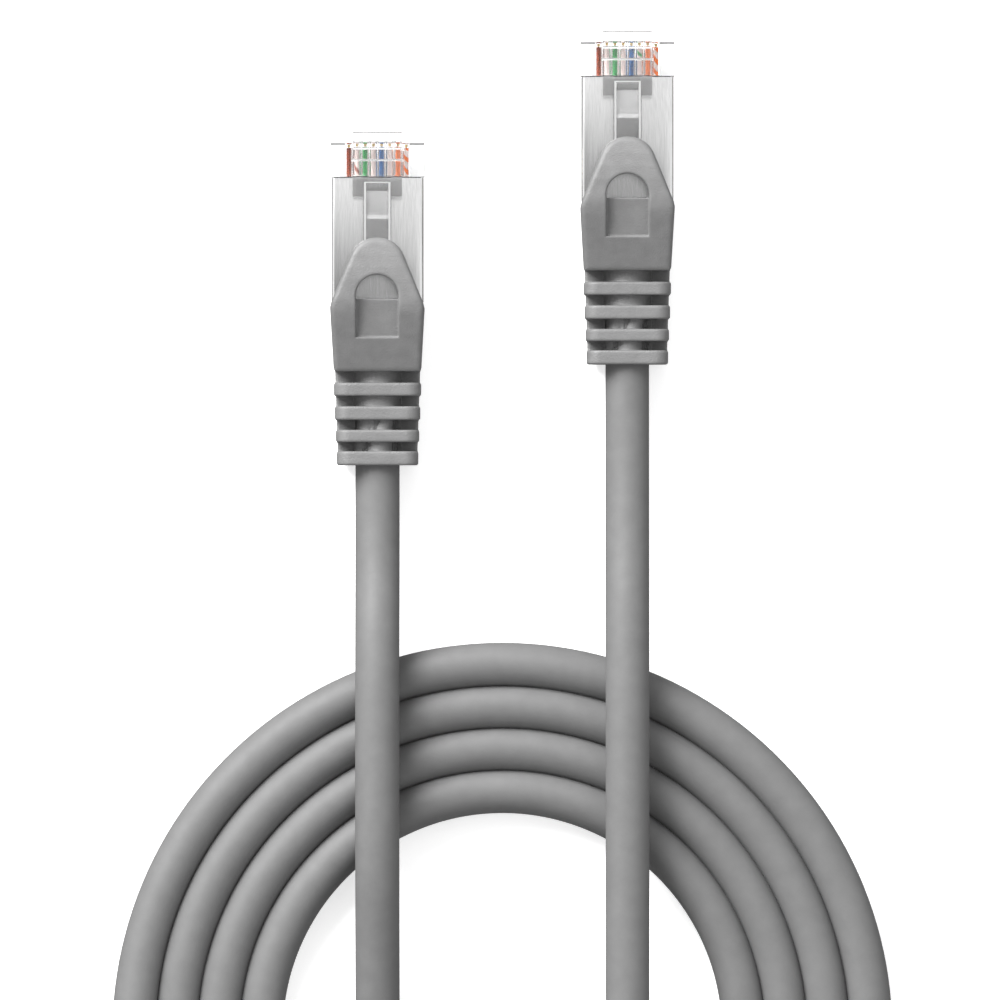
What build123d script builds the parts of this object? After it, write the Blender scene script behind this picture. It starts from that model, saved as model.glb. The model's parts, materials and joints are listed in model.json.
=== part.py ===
"""Screened ethernet patch cable: two eight-way modular plugs, each in a moulded boot with a ribbed tail
and a sprung tongue over its latch, on one coiled lead.

Units are millimetres. Each plug is drawn in its own frame, with x across it, y forward from the boot's rear
face and z up from the boot's flat underside, then placed at its end of the lead. The whole part stands on
z = 0, with +Y the way both plugs point and the origin midway between them.
"""
from build123d import *
import math
import os

os.makedirs("parts", exist_ok=True)

# ---- the whole part ----
LEAD_SPACING = 31.1  # between the two plugs' centre lines
STAGGER = 12.55  # plug b stands this far ahead of plug a
CABLE_DIAMETER = 5.5
AXIS_HEIGHT = 4.4  # the cable's axis inside the plug and the boot

# ---- the plug's body and its shield ----
NOSE_FRONT = 41.4  # the front of the nose, which is the plug's full length from the boot's rear face
FRONT_FACE = 40.1
SHIELD_FRONT = 35.75
SHIELD_REAR = 20.35
BODY_WIDTH = 11.7
BODY_BOTTOM = 1.1
BODY_TOP = 7.7
SHIELD_WIDTH = 11.43
SHIELD_SKIN = 0.22
SHIELD_SLIP = 0.02  # the shield's gap to the body inside it
NOSE_WIDTH = 6.14

# ---- the latch ----
LATCH_HINGE_Y = 40.55
LATCH_HINGE_Z = 8.35
LATCH_BARREL = 0.5
LATCH_SLOPE = 7.0  # degrees that the lever rises towards the boot
LATCH_THICKNESS = 1.0
LATCH_WIDTH = 6.2
LATCH_SHOULDER_Y = 33.4
TAB_WIDTH = 3.5
LATCH_TIP_Y = 25.0
SEAT_GAP = 0.05  # running clearance of both hinges' barrels

# ---- the boot ----
BOOT_FRONT = 20.3
BOOT_BODY_REAR = 11.72
BOOT_BODY_TOP = 8.6  # at its rear end
BOOT_REAR_WIDTH = 10.85
BOOT_FRONT_WIDTH = 11.7
# each rib of the tail, from the rear: its rear face, front face and width
RIBS = [(0.0, 1.87, 10.14), (2.89, 4.42, 10.37), (5.73, 7.37, 10.63), (8.75, 10.41, 10.86)]
RIB_HEIGHT = 8.2
WINDOW_WIDTH = 5.3
WINDOW_REAR = 15.9
WINDOW_CENTRE = 21.0  # the centre of its half-round front end
RAMP_FRONT_HEIGHT = 8.3

# ---- the tongue that guards the latch ----
GUARD_HINGE_Y = 19.0
GUARD_HINGE_Z = 10.35
GUARD_BARREL = 1.0
GUARD_TIP = 28.4
GUARD_WIDTH = 11.36

# ---- wires and contacts ----
PIN_PITCH = 1.02
WIRE_DIAMETER = 0.92
CORE_DIAMETER = 0.5
WIRE_HEIGHT = 4.1  # the row of wires in the plug's front
WIRE_FRONT = 39.5
BLADE_THICKNESS = 0.35
BLADE_REAR = 36.1
BLADE_FRONT = 39.95
JACKET_END = 24.0
# pin number: the colour of its wire, and where it leaves the jacket's end, as x and z
WIRES = {
    1: ("white_orange", 1.95, 4.4),
    2: ("orange", 1.0, 4.4),
    3: ("white_green", 0.5, 3.1),
    4: ("blue", 0.5, 5.7),
    5: ("white_blue", -0.5, 5.7),
    6: ("green", -0.5, 3.1),
    7: ("white_brown", -1.0, 4.4),
    8: ("brown", -1.95, 4.4),
}

# ---- the coil, whose turns lie side by side on the floor ----
TURN_PITCH = 5.25
TURNS = 4
COIL_RADIUS = 45.85  # the outermost turn's centre line
COIL_DROP = 70.7  # from boot a's rear face back to the coil's centre
LOOP_RADIUS = 21.8  # the half loop inside the coil, from lead a to the innermost turn
LOOP_START = -6.5  # where the half loop starts, ahead of the coil's centre

CLEAR = 0.05  # between pieces that fit into each other


def across(y):
    """The plane square to the plug at y, with its own x along -X and its own y up."""
    return Plane(origin=(0, y, 0), x_dir=(-1, 0, 0), z_dir=(0, 1, 0))


def pin_x(pin):
    """Pin 1 is on the right when the latch is on top and the plug points away."""
    return (4.5 - pin) * PIN_PITCH


def make_plug_body():
    """The clear housing: a front end as wide as the plug, a waist inside the shield, and the latch's root."""
    waist_width = SHIELD_WIDTH - 2 * (SHIELD_SKIN + SHIELD_SLIP)
    waist_height = BODY_TOP - BODY_BOTTOM - 2 * (SHIELD_SKIN + SHIELD_SLIP)
    middle = (BODY_BOTTOM + BODY_TOP) / 2
    with BuildPart() as body:
        with BuildSketch(across(SHIELD_FRONT + CLEAR)):
            with Locations((0, middle)):
                Rectangle(BODY_WIDTH, BODY_TOP - BODY_BOTTOM)
        extrude(amount=FRONT_FACE - SHIELD_FRONT - CLEAR)
        front_top = body.edges().filter_by(Axis.X).group_by(Axis.Y)[-1].sort_by(Axis.Z)[-1]
        chamfer(front_top, 0.45)
        with BuildSketch(across(SHIELD_REAR)):
            with Locations((0, middle)):
                Rectangle(waist_width, waist_height)
        extrude(amount=SHIELD_FRONT + CLEAR - SHIELD_REAR)
        # the nose that the latch springs from
        with BuildSketch(Plane.YZ):
            with BuildLine():
                Polyline(
                    (39.3, 6.2), (40.9, 6.2), (NOSE_FRONT, 6.7), (NOSE_FRONT, 8.4), (41.2, 8.75),
                    (40.95, 8.75), (40.95, BODY_TOP), (39.3, BODY_TOP), close=True,
                )
            make_face()
        extrude(amount=NOSE_WIDTH / 2, both=True)
        nose_sides = body.edges().filter_by(Axis.Z).group_by(Axis.Y)[-1]
        chamfer(nose_sides, 0.35)
        with Locations(Plane(origin=(0, LATCH_HINGE_Y, LATCH_HINGE_Z), z_dir=(1, 0, 0))):
            Cylinder(LATCH_BARREL + SEAT_GAP, LATCH_WIDTH + 1, mode=Mode.SUBTRACT)
        # the chamber for the cable's end
        with BuildSketch(across(SHIELD_REAR)):
            with Locations((0, AXIS_HEIGHT)):
                RectangleRounded(9.2, 5.62, 0.6)
        extrude(amount=9.85, mode=Mode.SUBTRACT)
        # the flat channel for the wires, higher behind its step than at the front
        with BuildSketch(across(30.1)):
            with Locations((0, 4.3)):
                Rectangle(8.7, 2.1)
        extrude(amount=7.7, mode=Mode.SUBTRACT)
        with BuildSketch(across(37.7)):
            with Locations((0, WIRE_HEIGHT)):
                Rectangle(8.5, 1.1)
        extrude(amount=1.9, mode=Mode.SUBTRACT)
        # the blades' slots, open below and in front
        with BuildSketch(Plane.XY.offset(BODY_BOTTOM - 0.1)):
            with Locations(*[(pin_x(pin), 38.1) for pin in WIRES]):
                Rectangle(BLADE_THICKNESS + 0.06, 4.2)
        extrude(amount=2.6, mode=Mode.SUBTRACT)
    return body.part


def make_latch():
    """The latch: a wide root with the two locking shoulders, and the narrow tab that a finger presses."""
    slope = math.radians(LATCH_SLOPE)
    half = LATCH_THICKNESS / 2

    def edge(y, side):
        """A point on the lever's upper or lower face, above the given y."""
        z = LATCH_HINGE_Z + (LATCH_HINGE_Y - y) * math.tan(slope) + side * half / math.cos(slope)
        return (y, z)

    with BuildPart() as latch:
        with BuildSketch(Plane.YZ):
            with BuildLine():
                Polyline(
                    edge(LATCH_HINGE_Y, -1), edge(LATCH_SHOULDER_Y, -1), edge(LATCH_SHOULDER_Y, 1),
                    edge(LATCH_HINGE_Y, 1), close=True,
                )
            make_face()
        extrude(amount=LATCH_WIDTH / 2, both=True)
        corners = latch.edges().filter_by(Axis.Z, tolerance=15).group_by(Axis.Y)[0]
        chamfer(corners, 0.5)
        with BuildSketch(Plane.YZ):
            with BuildLine():
                Polyline(
                    edge(LATCH_SHOULDER_Y + 0.5, -1), edge(LATCH_TIP_Y, -1), edge(LATCH_TIP_Y, 1),
                    edge(LATCH_SHOULDER_Y + 0.5, 1), close=True,
                )
            make_face()
        extrude(amount=TAB_WIDTH / 2, both=True)
        tip = latch.edges().filter_by(Axis.X).group_by(Axis.Y)[0]
        fillet(tip, 0.4)
        # the shallow groove across the tab
        with BuildSketch(Plane.YZ):
            with Locations(edge(30.85, 1)):
                Rectangle(0.5, 0.3)
        extrude(amount=TAB_WIDTH / 2, both=True, mode=Mode.SUBTRACT)
        with Locations(Plane(origin=(0, LATCH_HINGE_Y, LATCH_HINGE_Z), z_dir=(1, 0, 0))):
            Cylinder(LATCH_BARREL, NOSE_WIDTH - 0.2)
    return latch.part


def make_shield():
    """The folded steel sleeve, with a tail that is crimped round the cable behind it."""
    middle = (BODY_BOTTOM + BODY_TOP) / 2
    height = BODY_TOP - BODY_BOTTOM
    ring_inside = CABLE_DIAMETER / 2 + 0.09
    ring_outside = ring_inside + 0.2
    ring_bottom = AXIS_HEIGHT - ring_outside
    with BuildPart() as shield:
        with BuildSketch(across(SHIELD_REAR)):
            with Locations((0, middle)):
                RectangleRounded(SHIELD_WIDTH, height, 0.35)
                inside = (SHIELD_WIDTH - 2 * SHIELD_SKIN, height - 2 * SHIELD_SKIN)
                Rectangle(*inside, mode=Mode.SUBTRACT)
        extrude(amount=SHIELD_FRONT - SHIELD_REAR)
        # two sprung contact tabs are cut out of each side wall
        with BuildSketch(Plane.YZ):
            with Locations((31.0, 5.6), (31.0, 3.2)):
                Rectangle(5.2, 0.3)
        extrude(amount=SHIELD_WIDTH, both=True, mode=Mode.SUBTRACT)
        # the neck and the crimp ring, which is open on top
        with BuildSketch(Plane.YZ):
            with BuildLine():
                Polyline(
                    (17.3, ring_bottom), (SHIELD_REAR, BODY_BOTTOM), (20.6, BODY_BOTTOM),
                    (20.6, BODY_BOTTOM + SHIELD_SKIN), (SHIELD_REAR, BODY_BOTTOM + SHIELD_SKIN),
                    (17.3, ring_bottom + 0.2), close=True,
                )
            make_face()
        extrude(amount=1.2, both=True)
        with BuildSketch(across(13.5)):
            with Locations((0, AXIS_HEIGHT)):
                Circle(ring_outside)
                Circle(ring_inside, mode=Mode.SUBTRACT)
            with Locations((0, AXIS_HEIGHT + 3)):
                Rectangle(1.0, 2.0, mode=Mode.SUBTRACT)
        extrude(amount=4.0)
    return shield.part


def make_contacts():
    """The eight gold blades, each with two teeth that pierce its wire."""
    with BuildPart() as contacts:
        for pin in WIRES:
            with BuildSketch(Plane.YZ.offset(pin_x(pin) - BLADE_THICKNESS / 2)):
                with BuildLine():
                    Polyline(
                        (BLADE_REAR, 1.9), (BLADE_REAR + 0.4, 1.5), (BLADE_FRONT - 0.5, 1.5),
                        (BLADE_FRONT, 2.0), (BLADE_FRONT, 3.2), (39.4, 3.2), (39.1, 4.15),
                        (38.8, 3.2), (37.2, 3.2), (36.9, 4.15), (36.6, 3.2), (BLADE_REAR, 3.2), close=True,
                    )
                make_face()
            extrude(amount=BLADE_THICKNESS)
    return contacts.part


def make_load_bar():
    """The comb that sets the wires in a row, with one hole for each of them."""
    with BuildPart() as bar:
        with BuildSketch(across(30.6)):
            with Locations((0, 4.3)):
                Rectangle(8.6, 2.0)
            with Locations(*[(-pin_x(pin), WIRE_HEIGHT) for pin in WIRES]):
                Circle(WIRE_DIAMETER / 2 + 0.02, mode=Mode.SUBTRACT)
        extrude(amount=4.6)
    return bar.part


def wire_points(pin):
    """A wire's route from the jacket's end to its place in the row."""
    _, x, z = WIRES[pin]
    return [
        (x, JACKET_END + 0.1, z), (x, 25.0, z),
        (pin_x(pin), 30.0, WIRE_HEIGHT), (pin_x(pin), WIRE_FRONT, WIRE_HEIGHT),
    ]


def make_wire(pin):
    """One wire's insulation, with the bore that its strands fill."""
    with BuildPart() as wire:
        with BuildLine() as route:
            FilletPolyline(*wire_points(pin), radius=0.8)
        with BuildSketch(across(JACKET_END + 0.1)):
            with Locations((-WIRES[pin][1], WIRES[pin][2])):
                Circle(WIRE_DIAMETER / 2)
                Circle(CORE_DIAMETER / 2, mode=Mode.SUBTRACT)
        sweep(path=route.line)
    return wire.part


def make_cores():
    """The eight copper conductors."""
    with BuildPart() as cores:
        for pin in WIRES:
            with BuildLine() as route:
                FilletPolyline(*wire_points(pin), radius=0.8)
            with BuildSketch(across(JACKET_END + 0.1)):
                with Locations((-WIRES[pin][1], WIRES[pin][2])):
                    Circle(CORE_DIAMETER / 2)
            sweep(path=route.line)
    return cores.part


def make_jacket_end():
    """The stretch of cable inside the boot and the plug, with its jacket cut off square."""
    with BuildPart() as jacket:
        with BuildSketch(across(0)):
            with Locations((0, AXIS_HEIGHT)):
                Circle(CABLE_DIAMETER / 2)
                Circle(CABLE_DIAMETER / 2 - 0.6, mode=Mode.SUBTRACT)
        extrude(amount=JACKET_END)
    return jacket.part


def make_foil():
    """The foil screen, folded back over the jacket where the shield is crimped."""
    inside = CABLE_DIAMETER / 2 + 0.01
    with BuildPart() as foil:
        with BuildSketch(across(13.0)):
            with Locations((0, AXIS_HEIGHT)):
                Circle(inside + 0.06)
                Circle(inside, mode=Mode.SUBTRACT)
        extrude(amount=7.0)
    return foil.part


def make_drain_wire():
    """The tinned drain wire, laid along the foil in the crimp ring's gap."""
    height = AXIS_HEIGHT + CABLE_DIAMETER / 2 + 0.07 + 0.12
    with BuildPart() as drain:
        with BuildSketch(across(13.2)):
            with Locations((0, height)):
                Circle(0.11)
        extrude(amount=6.6)
    return drain.part


def make_inner_mould():
    """The hard core that is moulded round the crimp before the boot goes over it."""
    with BuildPart() as mould:
        with BuildSketch(across(12.65)):
            with Locations((0, AXIS_HEIGHT)):
                RectangleRounded(8.6, 6.6, 0.8)
                Circle(CABLE_DIAMETER / 2 + 0.02, mode=Mode.SUBTRACT)
        extrude(amount=BOOT_FRONT - 12.65)
        with BuildSketch(across(12.95)):
            with Locations((0, AXIS_HEIGHT)):
                Circle(CABLE_DIAMETER / 2 + 0.32)
        extrude(amount=BOOT_FRONT - 12.95, mode=Mode.SUBTRACT)
        with BuildSketch(across(17.2)):
            with Locations((0, 1.45)):
                Rectangle(2.6, 1.1)
        extrude(amount=BOOT_FRONT - 17.2, mode=Mode.SUBTRACT)
    return mould.part


def window_outline():
    """The finger window's plan: straight sides with a half-round front end."""
    with Locations((0, (WINDOW_REAR + WINDOW_CENTRE) / 2)):
        Rectangle(WINDOW_WIDTH, WINDOW_CENTRE - WINDOW_REAR)
    with Locations((0, WINDOW_CENTRE)):
        Circle(WINDOW_WIDTH / 2)


def make_boot():
    """The boot: a body that rises to the tongue's hinge, and four ribs joined by side webs behind it."""
    rear_half = BOOT_REAR_WIDTH / 2
    front_half = BOOT_FRONT_WIDTH / 2
    with BuildPart() as boot:
        with BuildSketch(Plane.YZ):
            with BuildLine():
                Polyline(
                    (BOOT_BODY_REAR, 0), (BOOT_FRONT, 0), (BOOT_FRONT, 9.2), (19.0, 9.75), (17.95, 10.9),
                    (18.1, 11.55), (17.6, 11.6), (BOOT_BODY_REAR, BOOT_BODY_TOP), close=True,
                )
            make_face()
        extrude(amount=front_half + 1, both=True)
        with BuildSketch():
            with BuildLine():
                Polyline(
                    (-rear_half, BOOT_BODY_REAR), (rear_half, BOOT_BODY_REAR), (front_half, 19.5),
                    (front_half, BOOT_FRONT), (-front_half, BOOT_FRONT), (-front_half, 19.5), close=True,
                )
            make_face()
        extrude(amount=14, mode=Mode.INTERSECT)
        fillet(boot.edges().filter_by(Axis.Y, tolerance=12).group_by(Axis.Z)[-1], 0.8)
        # the ribs of the tail, and the webs that join them
        for rear, front, width in RIBS:
            with BuildSketch(across(rear)):
                with Locations((0, RIB_HEIGHT / 2)):
                    RectangleRounded(width, RIB_HEIGHT, 1.6)
            extrude(amount=front - rear)
        with BuildSketch(across(RIBS[0][0] + 0.5)):
            with Locations((-3.95, 4.2), (3.95, 4.2)):
                Rectangle(2.1, 4.0)
        extrude(amount=BOOT_BODY_REAR - RIBS[0][0])
        # the cable's passage and the pocket for the inner mould
        with BuildSketch(across(-0.5)):
            with Locations((0, AXIS_HEIGHT)):
                Circle(CABLE_DIAMETER / 2 + 0.04)
        extrude(amount=BOOT_FRONT + 1, mode=Mode.SUBTRACT)
        with BuildSketch(across(12.6)):
            with Locations((0, AXIS_HEIGHT)):
                RectangleRounded(8.7, 6.7, 0.85)
        extrude(amount=BOOT_FRONT - 12.6 + 0.1, mode=Mode.SUBTRACT)
        # the seats for the tongue's barrels
        with Locations(Plane(origin=(0, GUARD_HINGE_Y, GUARD_HINGE_Z), z_dir=(1, 0, 0))):
            Cylinder(GUARD_BARREL + SEAT_GAP, BOOT_FRONT_WIDTH + 1, mode=Mode.SUBTRACT)
        # the window's ramp, down to the shield
        with BuildSketch(Plane.YZ):
            with BuildLine():
                Polyline(
                    (WINDOW_REAR, 10.5), (WINDOW_REAR + 0.15, 10.2), (BOOT_FRONT + 0.1, RAMP_FRONT_HEIGHT),
                    (BOOT_FRONT + 0.1, 14), (WINDOW_REAR, 14), close=True,
                )
            make_face()
        extrude(amount=WINDOW_WIDTH / 2, both=True, mode=Mode.SUBTRACT)
    return boot.part


def make_latch_guard():
    """The tongue over the latch, on two legs either side of the window, each with its hinge barrel."""
    half = GUARD_WIDTH / 2
    window_half = WINDOW_WIDTH / 2
    barrel_length = half - window_half - 0.1
    with BuildPart() as guard:
        with BuildSketch(Plane.YZ):
            with BuildLine():
                Polyline(
                    (19.3, 10.2), (20.8, 10.2), (22.5, 10.9), (24.0, 11.15), (GUARD_TIP, 11.15),
                    (GUARD_TIP, 11.9), (26.0, 12.45), (22.5, 12.75), (20.6, 12.7), (19.0, 12.0),
                    (18.7, 11.2), close=True,
                )
            make_face()
        extrude(amount=half + 1, both=True)
        with BuildSketch(Plane.XY.offset(9)):
            with BuildLine():
                Polyline(
                    (3.05, 26.7), (half, BOOT_FRONT), (half, 18), (-half, 18), (-half, BOOT_FRONT),
                    (-3.05, 26.7),
                )
                ThreePointArc((-3.05, 26.7), (0, GUARD_TIP), (3.05, 26.7))
            make_face()
        extrude(amount=5, mode=Mode.INTERSECT)
        with BuildSketch(Plane.XY.offset(9)):
            window_outline()
            with Locations((0, 17)):
                Rectangle(WINDOW_WIDTH, 4)
        extrude(amount=5, mode=Mode.SUBTRACT)
        with Locations(Plane(origin=(0, GUARD_HINGE_Y, GUARD_HINGE_Z), z_dir=(1, 0, 0))):
            with Locations((0, 0, window_half + barrel_length / 2), (0, 0, -window_half - barrel_length / 2)):
                Cylinder(GUARD_BARREL, barrel_length)
    return guard.part


def corner_radii(points):
    """For each inner point, 0.45 of the shorter run beside it over the tangent of half the turn."""
    radii = []
    for before, corner, after in zip(points, points[1:], points[2:]):
        arriving = Vector(*corner) - Vector(*before)
        leaving = Vector(*after) - Vector(*corner)
        turn = math.radians(arriving.get_angle(leaving))
        radii.append(0.45 * min(arriving.length, leaving.length) / math.tan(turn / 2))
    return radii


def make_lead(points):
    """A plain round tube along straight runs joined by tangent arcs."""
    radii = corner_radii(points)
    with BuildPart() as lead:
        with BuildLine() as route:
            FilletPolyline(*points, radius=radii)
        path = route.wires()[0]
        with BuildSketch(Plane(origin=path @ 0, z_dir=path % 0)):
            Circle(CABLE_DIAMETER / 2)
        sweep(path=path)
    share = lead.part.volume / (math.pi * CABLE_DIAMETER**2 / 4 * path.length)
    print("radii", [round(r, 1) for r in radii])
    print("smallest in diameters", round(min(radii) / CABLE_DIAMETER, 1))
    print("length", round(path.length, 1), "volume over section times length", round(share, 4))
    return lead.part


# ---- where the two plugs stand ----
REAR_A = -(NOSE_FRONT + STAGGER) / 2
PLACES = {
    "a": (-LEAD_SPACING / 2, REAR_A),
    "b": (LEAD_SPACING / 2, REAR_A + STAGGER),
}

makers = {
    "plug_body": make_plug_body,
    "latch": make_latch,
    "shield": make_shield,
    "contacts": make_contacts,
    "load_bar": make_load_bar,
    "copper_cores": make_cores,
    "jacket_end": make_jacket_end,
    "foil_screen": make_foil,
    "drain_wire": make_drain_wire,
    "inner_mould": make_inner_mould,
    "boot": make_boot,
    "latch_guard": make_latch_guard,
}
pieces = {name: make() for name, make in makers.items()}
for wire_pin, (colour, _, _) in WIRES.items():
    pieces[f"wire_{colour}"] = make_wire(wire_pin)

for end, (place_x, place_y) in PLACES.items():
    for name, piece in pieces.items():
        placed = piece.moved(Location((place_x, place_y, 0)))
        placed.label = f"{name}_{end}"
        export_step(placed, f"parts/{name}_{end}.step")

# ---- the free cable ----
COIL_Y = REAR_A - COIL_DROP
FLOOR_HEIGHT = CABLE_DIAMETER / 2
LEAD_X = LEAD_SPACING / 2

# the coil's outer shape: four turns side by side, and the half loop that lead a makes inside them
coil_width = (TURNS - 1) * TURN_PITCH + CABLE_DIAMETER
coil_middle = COIL_RADIUS - (TURNS - 1) * TURN_PITCH / 2
loop_centre = LOOP_RADIUS - LEAD_X
with BuildPart() as cable_coil:
    with BuildSketch(Plane.XZ.offset(-COIL_Y)):
        with Locations((coil_middle, FLOOR_HEIGHT)):
            SlotOverall(coil_width, CABLE_DIAMETER)
    revolve(axis=Axis((0, COIL_Y, 0), (0, 0, 1)))
    with BuildSketch(Plane.XZ.offset(-COIL_Y - LOOP_START)):
        with Locations((-LEAD_X, FLOOR_HEIGHT)):
            Circle(CABLE_DIAMETER / 2 - CLEAR)
    revolve(axis=Axis((loop_centre, COIL_Y + LOOP_START, 0), (0, 0, 1)), revolution_arc=135)
cable_coil.part.label = "cable_coil"
export_step(cable_coil.part, "parts/cable_coil.step")

# each route runs from its boot, as x, distance ahead of the coil's centre and height
LEAD_A_ROUTE = [
    (-LEAD_X, COIL_DROP, AXIS_HEIGHT),
    (-LEAD_X, 60.0, 4.5),
    (-LEAD_X, 48.5, 8.7),
    (-LEAD_X, 35.0, 9.0),
    (-LEAD_X, 21.5, 8.7),
    (-LEAD_X, 10.5, 5.3),
    (-LEAD_X, 0.0, 2.85),
    (-LEAD_X, LOOP_START, FLOOR_HEIGHT),
]
LEAD_B_ROUTE = [
    (LEAD_X, COIL_DROP + STAGGER, AXIS_HEIGHT),
    (LEAD_X, 66.5, 4.7),
    (LEAD_X, 49.5, 8.7),
    (LEAD_X, 28.0, 9.0),
    (LEAD_X, 5.0, 8.6),
    (LEAD_X, -16.5, 8.9),
    (1.8, -33.2, 9.2),
    (-19.4, -37.3, 9.1),
    (-38.5, -27.0, 6.4),
    (-46.6, -6.8, FLOOR_HEIGHT),
]
for name, route in (("cable_lead_a", LEAD_A_ROUTE), ("cable_lead_b", LEAD_B_ROUTE)):
    tube = make_lead([(x, COIL_Y + y, z) for x, y, z in route])
    tube.label = name
    export_step(tube, f"parts/{name}.step")
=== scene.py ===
"""The looks of a screened ethernet patch cable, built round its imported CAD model.

Lengths in the route and the camera are metres. The plug's pieces are drawn in millimetres in the plug's own
frame, with x across it, y forward from the boot's rear face and z up from its underside, and then placed.
"""
import bmesh
import bpy
import json
import math
import numpy as np
from mathutils import Matrix, Vector


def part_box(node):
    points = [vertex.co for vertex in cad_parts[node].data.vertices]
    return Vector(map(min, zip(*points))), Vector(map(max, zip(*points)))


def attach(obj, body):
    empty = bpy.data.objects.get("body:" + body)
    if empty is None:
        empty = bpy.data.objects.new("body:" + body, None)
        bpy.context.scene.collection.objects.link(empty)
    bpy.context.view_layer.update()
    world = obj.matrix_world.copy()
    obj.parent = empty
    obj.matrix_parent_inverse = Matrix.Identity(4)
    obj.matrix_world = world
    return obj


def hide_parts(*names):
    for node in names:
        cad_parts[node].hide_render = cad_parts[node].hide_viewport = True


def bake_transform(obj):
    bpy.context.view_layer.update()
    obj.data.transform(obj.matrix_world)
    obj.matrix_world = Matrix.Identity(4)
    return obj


MM = 0.001
X, Y = 0, 1  # the axes that solids are drawn along
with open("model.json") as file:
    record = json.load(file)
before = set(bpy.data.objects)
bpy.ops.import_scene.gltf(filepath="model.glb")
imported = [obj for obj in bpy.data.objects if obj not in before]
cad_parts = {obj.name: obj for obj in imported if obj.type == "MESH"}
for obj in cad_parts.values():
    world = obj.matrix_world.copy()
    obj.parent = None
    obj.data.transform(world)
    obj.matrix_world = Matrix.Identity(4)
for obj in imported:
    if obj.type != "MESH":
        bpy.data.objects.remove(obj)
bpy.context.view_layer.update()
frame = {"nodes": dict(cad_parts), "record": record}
record = frame["record"]

# ---- where things are ----
PLUG_X = {end: sum(c[0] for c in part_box(f"boot_{end}")) / 2 for end in "ab"}
PLUG_Y = {end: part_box(f"boot_{end}")[0][1] for end in "ab"}
coil_low, coil_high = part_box("cable_coil")
COIL_Y = (coil_low[1] + coil_high[1]) / 2
CABLE_R = 2.75  # millimetres, as is the height of its centre line in the plugs
CABLE_Z = 4.4
CABLE_DIAMETER = 2 * CABLE_R * MM
AXIS_HEIGHT = CABLE_Z * MM
FLOOR_HEIGHT = CABLE_DIAMETER / 2  # of the centre line, where the cable lies on the floor
TURN_PITCH = 0.00525
TURNS = 4
COIL_RADIUS = 0.04585
INNER_RADIUS = COIL_RADIUS - (TURNS - 1) * TURN_PITCH
LEAD_X = PLUG_X["b"]


# ---- camera, floor and lights ----
VIEW_WIDTH = 0.1245  # metres across the picture
VIEW_HEIGHT = 0.005  # above the floor, where that width is measured
VIEW_CENTRE = (-0.0003, COIL_Y + 0.06638)
LENS = 600.0
SENSOR = 36.0
FLOOR_HALF = 2.0
FLOOR_COLOUR = 0.78
FLOOR_GLOW = 0.55
FLOOR_GAP = 0.00002  # keeps the floor's face off the part's lowest faces
KEY_POWER = 62.0
KEY_PLACE = (-0.75, 0.98, 0.86)
KEY_SIDE = 1.0
SKY = 1.05
SKY_BELOW = 0.3  # the share of its brightness that the sky keeps under the horizon
HORIZON = 0.05  # half the height of the soft step between the two
DARK_SPOT = (-0.20, -0.30, 0.933)  # the direction of the sky's dark spot, nearly overhead
DARK_SPOT_EDGE = (0.875, 0.985)  # cosines of the angles from its middle, where it begins and is full
DARK_SPOT_STRENGTH = 0.15


def make_camera():
    """Straight down on the plugs and the upper half of the coil, through a long lens."""
    data = bpy.data.cameras.new("camera")
    data.lens = LENS
    data.sensor_width = SENSOR
    data.clip_start = 0.01
    data.clip_end = 20.0
    camera = bpy.data.objects.new("camera", data)
    camera.location = (*VIEW_CENTRE, VIEW_HEIGHT + VIEW_WIDTH * LENS / SENSOR)
    bpy.context.scene.collection.objects.link(camera)
    bpy.context.scene.camera = camera


def make_floor():
    """A plain pale floor that glows a little, so that it is white in the picture with soft shadows on it."""
    data = bpy.data.meshes.new("floor")
    corners = [(x * FLOOR_HALF, y * FLOOR_HALF, 0) for x, y in ((-1, -1), (1, -1), (1, 1), (-1, 1))]
    data.from_pydata(corners, [], [(0, 1, 2, 3)])
    floor = bpy.data.objects.new("floor", data)
    floor.location = (0, 0, -FLOOR_GAP)
    bpy.context.scene.collection.objects.link(floor)
    material = bpy.data.materials.new("floor")
    material.use_nodes = True
    shader = material.node_tree.nodes["Principled BSDF"]
    shader.inputs["Base Color"].default_value = (FLOOR_COLOUR, FLOOR_COLOUR, FLOOR_COLOUR, 1)
    shader.inputs["Roughness"].default_value = 0.9
    shader.inputs["Specular IOR Level"].default_value = 0.1
    shader.inputs["Emission Color"].default_value = (1, 1, 1, 1)
    shader.inputs["Emission Strength"].default_value = FLOOR_GLOW
    data.materials.append(material)
    floor.visible_diffuse = False
    floor.visible_glossy = False


def make_key():
    """One large soft lamp from ahead and to the left."""
    data = bpy.data.lights.new("key", "AREA")
    data.shape = "RECTANGLE"
    data.size = KEY_SIDE
    data.size_y = KEY_SIDE
    data.energy = KEY_POWER
    lamp = bpy.data.objects.new("key", data)
    lamp.location = KEY_PLACE
    towards = Vector((0, COIL_Y / 2, 0)) - Vector(KEY_PLACE)
    lamp.rotation_euler = towards.to_track_quat("-Z", "Y").to_euler()
    lamp.visible_camera = False
    bpy.context.scene.collection.objects.link(lamp)


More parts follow.
